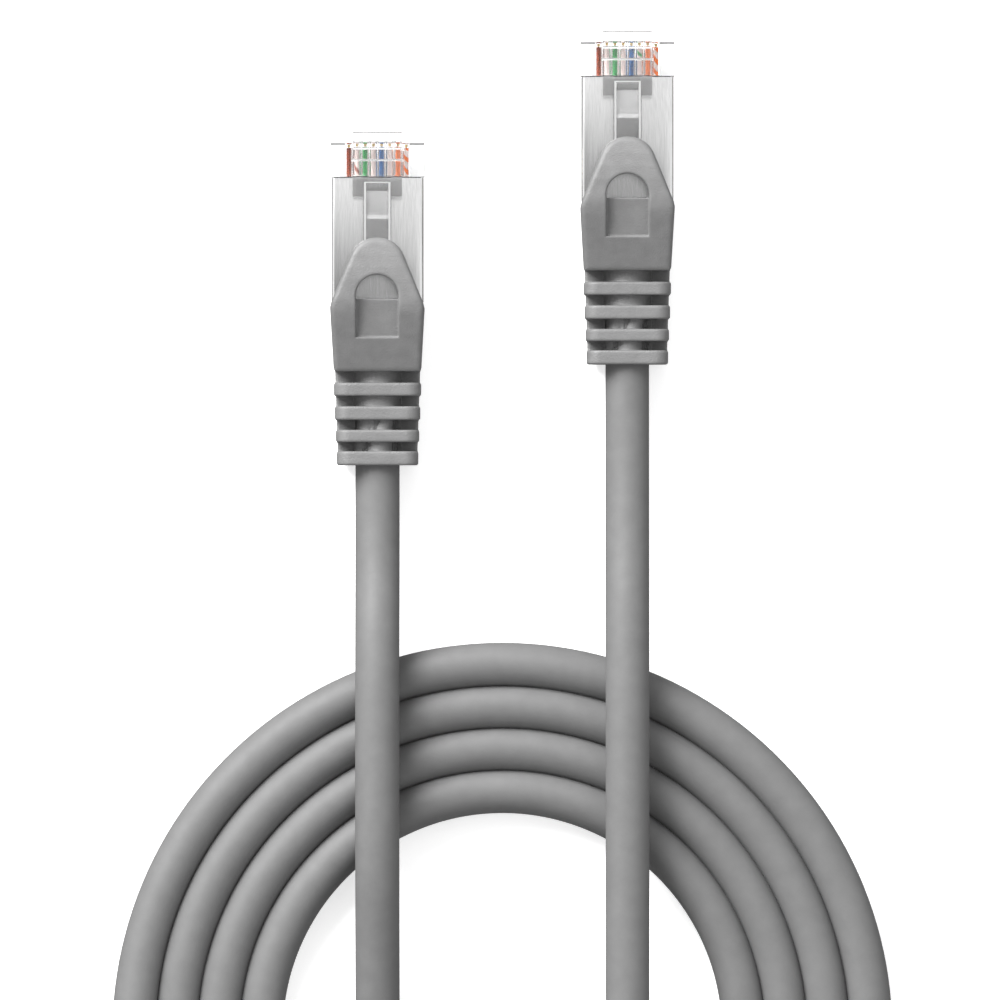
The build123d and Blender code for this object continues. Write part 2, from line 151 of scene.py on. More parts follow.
def make_sky():
    """A plain sky, dimmer under the horizon, with a dark spot for the shield's top to mirror."""
    world = bpy.data.worlds.new("studio")
    world.use_nodes = True
    tree = world.node_tree

    def span(value, low, high, start, end):
        node = tree.nodes.new("ShaderNodeMapRange")
        node.interpolation_type = "SMOOTHSTEP"
        for socket, number in zip(("From Min", "From Max", "To Min", "To Max"), (low, high, start, end)):
            node.inputs[socket].default_value = number
        tree.links.new(value, node.inputs["Value"])
        return node.outputs["Result"]

    direction = tree.nodes.new("ShaderNodeTexCoord").outputs["Generated"]
    parts = tree.nodes.new("ShaderNodeSeparateXYZ")
    tree.links.new(direction, parts.inputs["Vector"])
    nearness = tree.nodes.new("ShaderNodeVectorMath")
    nearness.operation = "DOT_PRODUCT"
    nearness.inputs[1].default_value = DARK_SPOT
    tree.links.new(direction, nearness.inputs[0])
    strength = tree.nodes.new("ShaderNodeMath")
    strength.operation = "MULTIPLY"
    overhead = span(nearness.outputs["Value"], *DARK_SPOT_EDGE, SKY, DARK_SPOT_STRENGTH)
    tree.links.new(overhead, strength.inputs[0])
    tree.links.new(span(parts.outputs["Z"], -HORIZON, HORIZON, SKY_BELOW, 1.0), strength.inputs[1])
    background = tree.nodes["Background"]
    background.inputs["Color"].default_value = (1, 1, 1, 1)
    tree.links.new(strength.outputs["Value"], background.inputs["Strength"])
    bpy.context.scene.world = world
    bpy.context.scene.view_settings.view_transform = "Standard"


# ---- the cable's route ----
LEAD_A_ROUTE = [
    (-LEAD_X, 0.0707, AXIS_HEIGHT),
    (-LEAD_X, 0.0600, 0.0045),
    (-LEAD_X, 0.0485, 0.0087),
    (-LEAD_X, 0.0350, 0.0090),
    (-LEAD_X, 0.0215, 0.0087),
    (-LEAD_X, 0.0105, 0.0053),
    (-LEAD_X, 0.0, FLOOR_HEIGHT),
]
LEAD_B_ROUTE = [
    (LEAD_X, 0.08325, AXIS_HEIGHT),
    (LEAD_X, 0.0665, 0.0047),
    (LEAD_X, 0.0495, 0.0087),
    (LEAD_X, 0.0280, 0.0090),
    (LEAD_X, 0.0050, 0.0086),
    (LEAD_X, -0.0165, 0.0089),
    (0.0018, -0.0332, 0.0092),
    (-0.0194, -0.0373, 0.0091),
    (-0.0385, -0.0270, 0.0065),
]
LOOP_START = -0.0065
# the half loop from lead a, which meets the innermost turn without a corner
LOOP_RADIUS = (INNER_RADIUS**2 - LEAD_X**2 - LOOP_START**2) / (INNER_RADIUS - LEAD_X) / 2
LOOP_POINTS = 4
COIL_END = 201.7 + 360 * (TURNS - 1)  # degrees, where the outermost turn leaves for lead b
COIL_POINTS = 66
STEP_START = 185.0  # each turn moves out to the next between these angles, at the back of the coil
STEP_ANGLE = 112.0
CLIMB_ANGLE = 38.0  # the outermost turn rises over this much of its end
CLIMB_HEIGHT = 0.0024


def smooth(share):
    share = min(max(share, 0.0), 1.0)
    return share * share * (3 - 2 * share)


def coil_points():
    """The half loop inside the coil, then the four turns, from the innermost out."""
    centre_x = LOOP_RADIUS - LEAD_X
    coil_start = math.degrees(math.atan2(LOOP_START, centre_x))
    points = []
    half = (180 + coil_start) / LOOP_POINTS / 2
    radius = LOOP_RADIUS / math.cos(math.radians(half))
    for i in range(LOOP_POINTS):
        angle = math.radians(180 + half * (2 * i + 1))
        across = centre_x + radius * math.cos(angle)
        points.append((across, LOOP_START + radius * math.sin(angle), FLOOR_HEIGHT))
    step = (COIL_END - coil_start) / COIL_POINTS
    outside = 1 / math.cos(math.radians(step / 2))
    for i in range(COIL_POINTS):
        angle = coil_start + step * (i + 0.5)
        turn = max(0, math.floor((angle - STEP_START) / 360))
        turns_out = turn + smooth((angle - STEP_START - 360 * turn) / STEP_ANGLE)
        radius = (INNER_RADIUS + TURN_PITCH * turns_out) * outside
        climb = CLIMB_HEIGHT * smooth(1 - (COIL_END - angle) / CLIMB_ANGLE)
        spot = math.radians(angle)
        points.append((radius * math.cos(spot), radius * math.sin(spot), FLOOR_HEIGHT + climb))
    return points


def make_cable(material):
    """One smooth tube from boot to boot. Its size is in the points' radii, which its bounding box counts."""
    points = LEAD_A_ROUTE + coil_points() + LEAD_B_ROUTE[::-1]
    curve = bpy.data.curves.new("cable", "CURVE")
    curve.dimensions = "3D"
    spline = curve.splines.new("NURBS")
    spline.points.add(len(points) - 1)
    for point, (x, y, z) in zip(spline.points, points):
        point.co = (x, y + COIL_Y, z, 1)
        point.radius = CABLE_DIAMETER / 2
    spline.order_u = 3
    spline.use_endpoint_u = True
    spline.resolution_u = 10
    curve.bevel_depth = 1.0
    curve.bevel_resolution = 8
    cable = bpy.data.objects.new("cable", curve)
    bpy.context.scene.collection.objects.link(cable)
    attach(cable, "root")
    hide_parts("cable_lead_a", "cable_coil", "cable_lead_b")
    curve.materials.append(material)


# ---- materials ----
def grey(value):
    return (value, value, value)


class Look:
    """A node material, built up by short calls."""

    def __init__(self, name, colour, roughness, **numbers):
        self.material = bpy.data.materials.new(name)
        self.material.use_nodes = True
        self.nodes = self.material.node_tree.nodes
        self.links = self.material.node_tree.links
        self.shader = self.nodes["Principled BSDF"]
        self.shader.inputs["Base Color"].default_value = (*colour, 1)
        self.shader.inputs["Roughness"].default_value = roughness
        for socket, value in numbers.items():
            self.shader.inputs[socket.replace("_", " ")].default_value = value

    def node(self, kind, **settings):
        made = self.nodes.new(kind)
        for key, value in settings.items():
            made.inputs[key].default_value = value
        return made

    def place(self, scale=(1, 1, 1)):
        """The point on the piece, in metres, stretched by scale."""
        coordinates = self.node("ShaderNodeTexCoord")
        mapping = self.node("ShaderNodeMapping", Scale=scale)
        self.links.new(coordinates.outputs["Object"], mapping.inputs["Vector"])
        return mapping.outputs["Vector"]

    def noise(self, scale, detail, stretch=(1, 1, 1)):
        texture = self.node("ShaderNodeTexNoise", Scale=scale, Detail=detail)
        self.links.new(self.place(stretch), texture.inputs["Vector"])
        return texture.outputs["Fac"]

    def colour(self, value, low, high, start=0.3, end=0.7):
        """Goes from the low colour to the high one as the value goes from start to end."""
        mix = self.node("ShaderNodeValToRGB")
        mix.color_ramp.elements[0].position = start
        mix.color_ramp.elements[0].color = (*low, 1)
        mix.color_ramp.elements[1].position = end
        mix.color_ramp.elements[1].color = (*high, 1)
        self.links.new(value, mix.inputs["Fac"])
        self.links.new(mix.outputs["Color"], self.shader.inputs["Base Color"])

    def rough(self, value, low, high):
        span = self.node("ShaderNodeMapRange")
        span.inputs["To Min"].default_value = low
        span.inputs["To Max"].default_value = high
        self.links.new(value, span.inputs["Value"])
        self.links.new(span.outputs["Result"], self.shader.inputs["Roughness"])

    def bump(self, value, distance, strength):
        node = self.node("ShaderNodeBump", Strength=strength, Distance=distance)
        self.links.new(value, node.inputs["Height"])
        self.links.new(node.outputs["Normal"], self.shader.inputs["Normal"])


def jacket_look():
    look = Look("jacket", grey(0.125), 0.6, Specular_IOR_Level=0.35)
    look.colour(look.noise(500, 3), grey(0.118), grey(0.130))
    look.rough(look.noise(900, 2), 0.54, 0.66)
    look.bump(look.noise(2600, 2), 0.00003, 0.35)
    return look.material


def boot_look():
    look = Look("boot", grey(0.13), 0.5, Specular_IOR_Level=0.55)
    look.colour(look.noise(700, 3), grey(0.124), grey(0.146))
    look.rough(look.noise(1500, 2), 0.44, 0.56)
    look.bump(look.noise(5500, 3), 0.00006, 1.0)
    return look.material


def steel_look():
    look = Look("shield_steel", grey(0.5), 0.42, Metallic=1.0)
    look.colour(look.noise(900, 4, (12, 0.35, 12)), grey(0.70), grey(0.80))
    look.rough(look.noise(1300, 3, (10, 0.3, 10)), 0.20, 0.28)
    look.bump(look.noise(2200, 3, (9, 0.2, 9)), 0.000004, 0.5)
    return look.material


def gold_look():
    look = Look("gold", (0.86, 0.62, 0.26), 0.28, Metallic=1.0)
    look.colour(look.noise(1500, 3), (0.80, 0.56, 0.22), (0.90, 0.68, 0.32))
    look.rough(look.noise(3000, 2), 0.2, 0.36)
    return look.material


def copper_look():
    look = Look("copper", (0.80, 0.42, 0.26), 0.35, Metallic=1.0)
    look.colour(look.noise(2500, 3), (0.72, 0.36, 0.22), (0.84, 0.48, 0.32))
    return look.material


def foil_look():
    look = Look("foil", grey(0.8), 0.25, Metallic=1.0)
    look.bump(look.noise(1800, 4), 0.00005, 0.8)
    look.rough(look.noise(2500, 2), 0.18, 0.4)
    return look.material


def tinned_look():
    look = Look("tinned_wire", grey(0.72), 0.35, Metallic=1.0)
    look.rough(look.noise(4000, 2), 0.25, 0.45)
    return look.material


def mould_look():
    look = Look("inner_mould", grey(0.12), 0.6)
    look.colour(look.noise(900, 3), grey(0.10), grey(0.15))
    look.bump(look.noise(1200, 3), 0.00008, 0.8)
    return look.material


def load_bar_look():
    look = Look("load_bar", grey(0.85), 0.4, Transmission_Weight=0.3)
    look.colour(look.noise(1500, 2), grey(0.82), grey(0.9))
    return look.material


def clear_look(name, tint, low=0.02, high=0.07, clearness=1.0):
    """Tinted plastic with its roughness between low and high. Its clearness is 1 where it isn't cloudy."""
    look = Look(name, tint, low, Transmission_Weight=clearness, IOR=1.49, Specular_IOR_Level=0.2)
    look.rough(look.noise(1500, 2), low, high)
    return look.material


WIRE_COLOURS = {
    "orange": (0.98, 0.20, 0.03),
    "green": (0.004, 0.32, 0.06),
    "blue": (0.01, 0.12, 0.38),
    "brown": (0.33, 0.06, 0.025),
}
WHITE_WIRE = (0.88, 0.72, 0.68)
STRIPE_SCALE = 90.0
CLOSE_STRIPE_SCALE = 420.0


def wire_look(name):
    """Plain insulation, or white insulation with a thin stripe of its pair's colour round it."""
    colour = WIRE_COLOURS[name.replace("white_", "")]
    look = Look(f"wire_{name}", colour, 0.5, Specular_IOR_Level=0.25)
    if name.startswith("white_"):
        close = name == "white_orange"  # the one whose stripes show plainly
        scale = CLOSE_STRIPE_SCALE if close else STRIPE_SCALE
        wave = look.node("ShaderNodeTexWave", Scale=scale, Distortion=1.5)
        wave.bands_direction = "DIAGONAL"
        look.links.new(look.place(), wave.inputs["Vector"])
        start = 0.6 if close else 0.97
        look.colour(wave.outputs["Fac"], WHITE_WIRE, colour, start, start + 0.03)
    else:
        look.colour(look.noise(1200, 2), tuple(0.85 * c for c in colour), colour)
    look.rough(look.noise(2500, 2), 0.45, 0.6)
    return look.material


def surface_nets(field, low, step):
    """The surface where a sampled distance field is zero: a vertex in each cell that it crosses."""
    inside = field < 0
    shape = np.array(field.shape) - 1
    corners = [(i, j, k) for i in (0, 1) for j in (0, 1) for k in (0, 1)]

    def part(array, corner):
        return array[tuple(slice(c, c + n) for c, n in zip(corner, shape))]

    total = np.zeros((*shape, 3))
    count = np.zeros(shape)
    for first in corners:
        for axis in range(3):
            if first[axis]:
                continue
            second = tuple(c + (n == axis) for n, c in enumerate(first))
            a, b = part(field, first), part(field, second)
            crossed = part(inside, first) != part(inside, second)
            share = np.where(crossed, a / np.where(crossed, a - b, 1), 0)
            for n in range(3):
                total[..., n] += np.where(crossed, first[n] + (share if n == axis else 0), 0)
            count += crossed
    used = count > 0
    index = np.full(shape, -1)
    index[used] = np.arange(used.sum())
    cells = np.argwhere(used)
    vertices = (cells + total[used] / count[used][:, None]) * step + low
    faces = []
    for axis in range(3):
        u, v = (axis + 1) % 3, (axis + 2) % 3
        ahead = np.take(inside, range(1, inside.shape[axis]), axis)
        behind = np.take(inside, range(inside.shape[axis] - 1), axis)
        crossed = np.argwhere(ahead != behind)
        crossed = crossed[(crossed[:, u] > 0) & (crossed[:, v] > 0)]
        crossed = crossed[(crossed[:, u] < shape[u]) & (crossed[:, v] < shape[v])]
        ring = []
        for du, dv in ((1, 1), (0, 1), (0, 0), (1, 0)):
            cell = crossed.copy()
            cell[:, u] -= du
            cell[:, v] -= dv
            ring.append(index[tuple(cell.T)])
        quads = np.stack(ring, 1)
        out = behind[tuple(crossed.T)]
        quads[~out] = quads[~out][:, ::-1]
        faces.append(quads)
    return vertices, np.concatenate(faces)


# ---- distance fields, in millimetres: negative inside ----
SHARP = 1e-6


def either(a, b, blend=SHARP):
    """Where one of the solids is, with the corner between them filled over about blend."""
    near = np.clip(0.5 + 0.5 * (b - a) / blend, 0, 1)
    return b + (a - b) * near - blend * near * (1 - near)


def both(a, b, blend=SHARP):
    """Where both solids are, with the edge between them rounded over about blend."""
    return -either(-a, -b, blend)


def without(a, b, blend=SHARP):
    return both(a, -b, blend)


def polygon(p, q, outline):
    """Distance to a closed outline in the plane of p and q."""
    nearest = np.full(np.broadcast(p, q).shape, 1e9)
    inside = np.zeros(nearest.shape, bool)
    for (ax, ay), (bx, by) in zip(outline, outline[1:] + outline[:1]):
        ex, ey = bx - ax, by - ay
        share = np.clip(((p - ax) * ex + (q - ay) * ey) / (ex * ex + ey * ey), 0, 1)
        nearest = np.minimum(nearest, (p - ax - ex * share) ** 2 + (q - ay - ey * share) ** 2)
        if ey:
            inside ^= ((q < ay) != (q < by)) & (p < ax + ex * (q - ay) / ey)
    return np.where(inside, -1, 1) * np.sqrt(nearest)


def block(p, low, high, radius=0.0):
    """Distance to a box along one, two or three axes, with rounded edges."""
    parts = [np.abs(c - (a + b) / 2) - ((b - a) / 2 - radius) for c, a, b in zip(p, low, high)]
    outside = np.sqrt(sum(np.maximum(d, 0) ** 2 for d in parts))
    deepest = parts[0]
    for d in parts[1:]:
        deepest = np.maximum(deepest, d)
    return outside + np.minimum(deepest, 0) - radius


def arc(radius, start, stop, steps, centre=(0, 0)):
    """Points round part of a circle, from one angle to the other in degrees."""
    spots = [math.radians(start + (stop - start) * i / steps) for i in range(steps + 1)]
    return [(centre[0] + radius * math.cos(a), centre[1] + radius * math.sin(a)) for a in spots]


def grid(low, high, step):
    """Sample points over a box, as x, y and z arrays that broadcast together."""
    axes = [np.arange(a, b + step, step) for a, b in zip(low, high)]
    return np.meshgrid(*axes, indexing="ij", sparse=True)


# ---- the boot with its tongue, one flexible moulding ----
BOOT_STEP = 0.13  # between the samples of its distance field
BOOT_LOW = (-6.4, -0.5, -0.4)
BOOT_HIGH = (6.4, 29.0, 13.2)
# each rib's rear, front and width
RIBS = [(0.0, 1.75, 10.14), (2.88, 4.41, 10.37), (5.64, 7.34, 10.63), (8.62, 10.28, 10.86)]
BODY_REAR = 11.5
BOOT_SLOPE = 26  # degrees that the body rises towards the tongue
SHOULDER_RADIUS = 6.8
SHOULDER_REAR = (18.3, 11.8)
TONGUE_RADIUS = 3.53
TONGUE_CENTRE = 24.87
TONGUE_SLANT = 22  # degrees from forward, of the sides that the round tip joins
WINDOW_HALF = 2.65
WINDOW_REAR = 15.9
WINDOW_CENTRE = 21.0  # of its round end
WINDOW_FLOOR = [(WINDOW_REAR, 11.1), (20.6, 10.15)]  # where its sloping floor starts and ends
SLEEVE_RADIUS = 2.98
EDGE = 0.75  # how far the body's and the tongue's edges are rounded


def boot_side():
    """The outline from the side: the rising body, the rounded shoulder and the tongue."""
    centre = (
        SHOULDER_REAR[0] + SHOULDER_RADIUS * math.sin(math.radians(BOOT_SLOPE)),
        SHOULDER_REAR[1] - SHOULDER_RADIUS * math.cos(math.radians(BOOT_SLOPE)),
    )
    shoulder = arc(SHOULDER_RADIUS, 88, 90 + BOOT_SLOPE, 8, centre)
    return [
        (BODY_REAR, 0.05), (20.3, 0.05), (20.3, 9.0),
        (20.6, 9.75), (21.4, 10.45), (22.6, 10.95), (24.2, 11.15), (28.5, 11.12),
        (28.6, 11.7), (27.6, 12.02), (26.2, 12.3), (24.6, 12.48), (23.0, 12.55), *shoulder,
        (BODY_REAR, 8.5),
    ]


def boot_plan():
    """The outline from above: the body's sides, then the tongue's slanted sides and its round tip."""
    outline = [(5.42, BODY_REAR), (5.86, 19.6), (5.70, 20.25)]
    for angle in range(TONGUE_SLANT, 180 - TONGUE_SLANT + 1, 4):
        spot = math.radians(angle)
        outline.append((TONGUE_RADIUS * math.cos(spot), TONGUE_CENTRE + TONGUE_RADIUS * math.sin(spot)))
    return outline + [(-x, y) for x, y in outline[2::-1]]


def lumps(x, y, z):
    """Uneven flash from the moulding, as it shows between the ribs, rougher towards the rear."""
    turn = np.arctan2(z - CABLE_Z, x)
    rough = 0.02 + 0.14 * np.clip((7.5 - y) / 2, 0, 1)
    return rough * np.sin(5 * turn + 0.5 * y + 0.8 * np.sin(2 * turn + 0.6 * y))


def boot_field(x, y, z):
    """The boot's distance field: body, window, ribbed tail, the cable's hole and the plug's pocket."""
    tongue = np.clip((y - 18.5) / 2.5, 0, 1)
    body = both(polygon(y, z, boot_side()), polygon(x, y, boot_plan()), EDGE)
    window = either(
        block((x, y), (-WINDOW_HALF, WINDOW_REAR), (WINDOW_HALF, WINDOW_CENTRE)),
        np.hypot(x, y - WINDOW_CENTRE) - WINDOW_HALF,
    )
    (floor_rear, floor_high), (floor_front, floor_low) = WINDOW_FLOOR
    slope = math.atan2(floor_low - floor_high, floor_front - floor_rear)
    ramp = (floor_low - z) * math.cos(slope) - (y - floor_rear) * math.sin(slope)
    ramp = either(ramp, 20.65 - y)
    body = without(body, both(window, ramp, 0.1), 0.15 + 0.15 * tongue)
    around = np.hypot(x, z - CABLE_Z)
    tail = both(around - SLEEVE_RADIUS - lumps(x, y, z), block((y,), (0.6,), (12.6,)))
    for side in (-1, 1):
        web = block((x * side - 0.034 * y, y, z), (1.9, 0.9, 1.6), (4.9, 12.2, 4.9), 0.2)
        tail = either(tail, web, 0.1)
    for rear, front, width in RIBS:
        rib = both(
            block((x, z), (-width / 2, 0.05), (width / 2, 8.25), 1.7),
            block((y,), (rear,), (front,)), 0.3,
        )
        tail = either(tail, rib, 0.1)
    solid = either(body, tail, 0.1)
    solid = without(solid, both(around - CABLE_R - 0.01, block((y,), (-1,), (13,))))
    pocket = block((x, y, z), (-4.35, 12.6, 1.05), (4.35, 21.0, 7.75), 0.3)
    return without(solid, pocket)


def make_boot(end, material):
    x, y, z = grid(BOOT_LOW, BOOT_HIGH, BOOT_STEP)
    vertices, faces = surface_nets(boot_field(x, y, z), np.array(BOOT_LOW), BOOT_STEP)
    place = np.array([PLUG_X[end], PLUG_Y[end], 0.0])
    data = bpy.data.meshes.new(f"boot_and_tongue_{end}")
    data.from_pydata((vertices * MM + place).tolist(), [], faces.tolist())
    data.validate()
    data.materials.append(material)
    data.shade_smooth()
    boot = bpy.data.objects.new(data.name, data)
    bpy.context.scene.collection.objects.link(boot)
    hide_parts(f"boot_{end}", f"latch_guard_{end}")
    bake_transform(boot)


# ---- solids of straight sides, in millimetres until they are placed ----
SHARP_ANGLE = 20  # degrees that faces turn by where the shading shows an edge


def prism(outline, axis, low, high):
    """A solid mesh drawn in millimetres: an outline in the other two axes, carried along one axis."""
    made = bmesh.new()
    rings = []
    for depth in (low, high):
        ring = []
        for a, b in outline:
            point = [a, b]
            point.insert(axis, depth)
            ring.append(made.verts.new(point))
        rings.append(ring)
    made.faces.new(rings[0])
    made.faces.new(rings[1][::-1])
    for i in range(len(outline)):
        j = (i + 1) % len(outline)
        made.faces.new((rings[0][i], rings[1][i], rings[1][j], rings[0][j]))
    bmesh.ops.recalc_face_normals(made, faces=made.faces)
    data = bpy.data.meshes.new("prism")
    made.to_mesh(data)
    made.free()
    piece = bpy.data.objects.new("prism", data)
    bpy.context.scene.collection.objects.link(piece)
    return piece


def rectangle(low, high):
    return [(low[0], low[1]), (high[0], low[1]), (high[0], high[1]), (low[0], high[1])]


def carve(piece, others, operation):
    """Adds or cuts the other solids, which are used up."""
    for other in others:
        modifier = piece.modifiers.new("carve", "BOOLEAN")
        modifier.operation = operation
        modifier.solver = "EXACT"
        modifier.object = other
    settle(piece)
    for other in others:
        bpy.data.objects.remove(other)


def bevel(piece, width, angle):
    """Rounds the edges that turn by more than the angle, in degrees."""
    modifier = piece.modifiers.new("bevel", "BEVEL")
    modifier.width = width
    modifier.segments = 2
    modifier.limit_method = "ANGLE"
    modifier.angle_limit = math.radians(angle)
    settle(piece)


def settle(piece):
    """Applies the piece's modifiers."""
    bpy.context.view_layer.update()
    graph = bpy.context.evaluated_depsgraph_get()
    data = bpy.data.meshes.new_from_object(piece.evaluated_get(graph))
    piece.modifiers.clear()
    old = piece.data
    piece.data = data
    bpy.data.meshes.remove(old)


def place_piece(piece, name, end, material):
    """Names a solid drawn in the plug's millimetres and moves its mesh to its end of the cable."""
    piece.name = name
    piece.data.name = name
    place = Matrix.Translation((PLUG_X[end], PLUG_Y[end], 0)) @ Matrix.Scale(MM, 4)
    piece.data.transform(place)
    piece.data.materials.clear()
    piece.data.materials.append(material)
    piece.data.shade_smooth()
    piece.data.set_sharp_from_angle(angle=math.radians(SHARP_ANGLE))


def tint_faces(piece, end, material, low, high):
    """Gives a material to the faces with their middles in a box in the plug's millimetres, on either side."""
    piece.data.materials.append(material)
    slot = len(piece.data.materials) - 1
    place = Vector((PLUG_X[end], PLUG_Y[end], 0))
    for face in piece.data.polygons:
        x, y, z = (face.center - place) / MM
        if all(a <= c <= b for a, c, b in zip(low, (abs(x), y, z), high)):
            face.material_index = slot


# ---- the clear housing ----
PIN_PITCH = 1.02
PINS = [(4.5 - pin) * PIN_PITCH for pin in range(1, 9)]
WIRE_Z = 4.1
BORE_RADIUS = 0.49
BLADE_SLOT_HALF = 0.205
FRONT_HALF = 5.85
FRONT_REAR, FRONT_END = 35.9, 40.1
HOUSING_LOW, HOUSING_HIGH = 1.1, 7.7
WAIST_HALF, WAIST_HIGH = 5.4, 7.05
GROOVE_Y = 37.9
CORNER_START = 4.0  # the front corners are cut back more than the middle, from here outwards


def make_housing(end, looks):
    """The front block and the waist inside the shield, with a bore for each wire and the blades' slots."""
    front = [
        (FRONT_REAR, HOUSING_LOW), (39.98, HOUSING_LOW), (FRONT_END, 1.22), (FRONT_END, 7.5),
        (39.92, HOUSING_HIGH), (FRONT_REAR, HOUSING_HIGH),
    ]
    housing = prism(front, X, -FRONT_HALF, FRONT_HALF)
    waist = prism(rectangle((20.4, 1.5), (36.0, WAIST_HIGH)), X, -WAIST_HALF, WAIST_HALF)
    carve(housing, [waist], "UNION")
    groove = [(GROOVE_Y - 0.18, 7.75), (GROOVE_Y + 0.18, 7.75), (GROOVE_Y, 7.5)]
    corner = [(39.75, 7.75), (40.2, 7.75), (40.2, 7.3)]
    cutters = [
        prism(rectangle((20.0, 1.8), (30.2, 7.0)), X, -4.6, 4.6),
        prism(rectangle((30.1, 3.25), (36.0, 5.35)), X, -4.35, 4.35),
        prism(groove, X, -3.25, 3.25),
        prism(corner, X, CORNER_START, 5.9),
        prism(corner, X, -5.9, -CORNER_START),
    ]
    for pin in PINS:
        bore = arc(BORE_RADIUS, 0, 342, 19, (pin, WIRE_Z))
        cutters.append(prism(bore, Y, 35.9, 39.6))
        slot = rectangle((36.0, 1.0), (40.3, 3.7))
        cutters.append(prism(slot, X, pin - BLADE_SLOT_HALF, pin + BLADE_SLOT_HALF))
    carve(housing, cutters, "DIFFERENCE")
    bevel(housing, 0.07, 60)
    place_piece(housing, f"housing_{end}", end, looks["clear_housing"])
    tint_faces(housing, end, looks["frosted_groove"], (0, 37.6, 7.4), (3.3, 38.2, 7.69))
    # Painted shade: dark cloudy plastic on the front corners' cuts and the front block's sides, for the dark
    # lines that these edges show.
    tint_faces(housing, end, looks["housing_edge"], (CORNER_START + 0.05, 39.7, 7.3), (5.84, 40.2, 7.69))
    tint_faces(housing, end, looks["housing_edge"], (5.77, 39.3, 7.3), (5.86, 40.2, 7.71))
    # Painted shadow: the waist's top is dark, to show as the shadow in the gap between the shield and the
    # front block.
    painted_shadow_low = (0, 20.5, WAIST_HIGH - 0.01)
    tint_faces(housing, end, looks["housing_seam"], painted_shadow_low, (WAIST_HALF, 35.85, WAIST_HIGH + 0.01))
    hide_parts(f"plug_body_{end}")
    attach(housing, "root")


# ---- the steel shield ----
SHIELD_REAR, SHIELD_FRONT = 20.35, 35.75
SHIELD_HALF = 5.715
SHIELD_LOW, SHIELD_HIGH = 1.1, 7.7
SHIELD_CORNER = 0.45
SHIELD_CROWN = 0.0046  # the top's fall each way from its highest line, per square millimetre
SHIELD_CROWN_ACROSS = 0.0023
SHIELD_CREST = 26.8
SHIELD_THICKNESS = 0.2
CRIMP_OUTSIDE = 2.94  # the radius of the ring that is crimped on the cable
SLOT_HEIGHTS = (5.6, 3.2)


def shield_sheet():
    """The folded sheet as one face thick, open in front and behind, with a seam along the bottom."""
    flat = SHIELD_HALF - SHIELD_CORNER
    low, high = SHIELD_LOW + SHIELD_CORNER, SHIELD_HIGH - SHIELD_CORNER
    section = [(0.06, SHIELD_LOW)]
    section += arc(SHIELD_CORNER, -90, 0, 6, (flat, low))
    section += arc(SHIELD_CORNER, 0, 90, 6, (flat, high))
    section += [(x, SHIELD_HIGH) for x in np.linspace(flat, -flat, 16)[1:-1]]
    section += arc(SHIELD_CORNER, 90, 180, 6, (-flat, high))
    section += arc(SHIELD_CORNER, 180, 270, 6, (-flat, low))
    section.append((-0.06, SHIELD_LOW))
    rows = np.linspace(SHIELD_REAR, SHIELD_FRONT, 29)
    vertices = []
    for y in rows:
        for x, z in section:
            share = min(max((z - 6.9) / 0.5, 0.0), 1.0)
            fall = SHIELD_CROWN * (y - SHIELD_CREST) ** 2 + SHIELD_CROWN_ACROSS * x * x
            vertices.append((x, y, z - fall * share))
    n = len(section)
    faces = []
    for row in range(len(rows) - 1):
        for i in range(n - 1):
            a = row * n + i
            faces.append((a, a + n, a + n + 1, a + 1))
    return vertices, faces


def make_shield(end, material):
    """The sleeve with its sprung side tabs, the neck and the crimp ring inside the boot."""
    vertices, faces = shield_sheet()
    data = bpy.data.meshes.new("shield")
    data.from_pydata(vertices, [], faces)
    shield = bpy.data.objects.new("shield", data)
    bpy.context.scene.collection.objects.link(shield)
    skin = shield.modifiers.new("skin", "SOLIDIFY")
    skin.thickness = SHIELD_THICKNESS
    skin.offset = -1
    settle(shield)
    slots = []
    for low, high in ((-6.2, -5.2), (5.2, 6.2)):
        for height in SLOT_HEIGHTS:
            slots.append(prism(rectangle((28.4, height - 0.15), (33.6, height + 0.15)), X, low, high))
    carve(shield, slots, "DIFFERENCE")
    ring = arc(CRIMP_OUTSIDE, 101, 439, 48, (0, CABLE_Z)) + arc(CABLE_R, 438, 102, 48, (0, CABLE_Z))
    neck = [(17.3, 1.46), (20.5, 1.1), (20.5, 1.3), (17.3, 1.66)]
    carve(shield, [prism(ring, Y, 13.5, 17.5), prism(neck, X, -1.2, 1.2)], "UNION")
    place_piece(shield, f"steel_shield_{end}", end, material)
    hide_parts(f"shield_{end}")
    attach(shield, "root")


# ---- the latch ----
LATCH_HINGE = (40.55, 8.35)
LATCH_SLOPE = math.radians(7.0)
WIDE_HALF = 3.07
TAB_HALF = 1.75
RAIL_INSIDE, RAIL_OUTSIDE = 1.39, 1.64


def lever(y, height):
    """A point above or below the latch's middle line, over the given y."""
    return (y, LATCH_HINGE[1] + (LATCH_HINGE[0] - y) * math.tan(LATCH_SLOPE) + height)


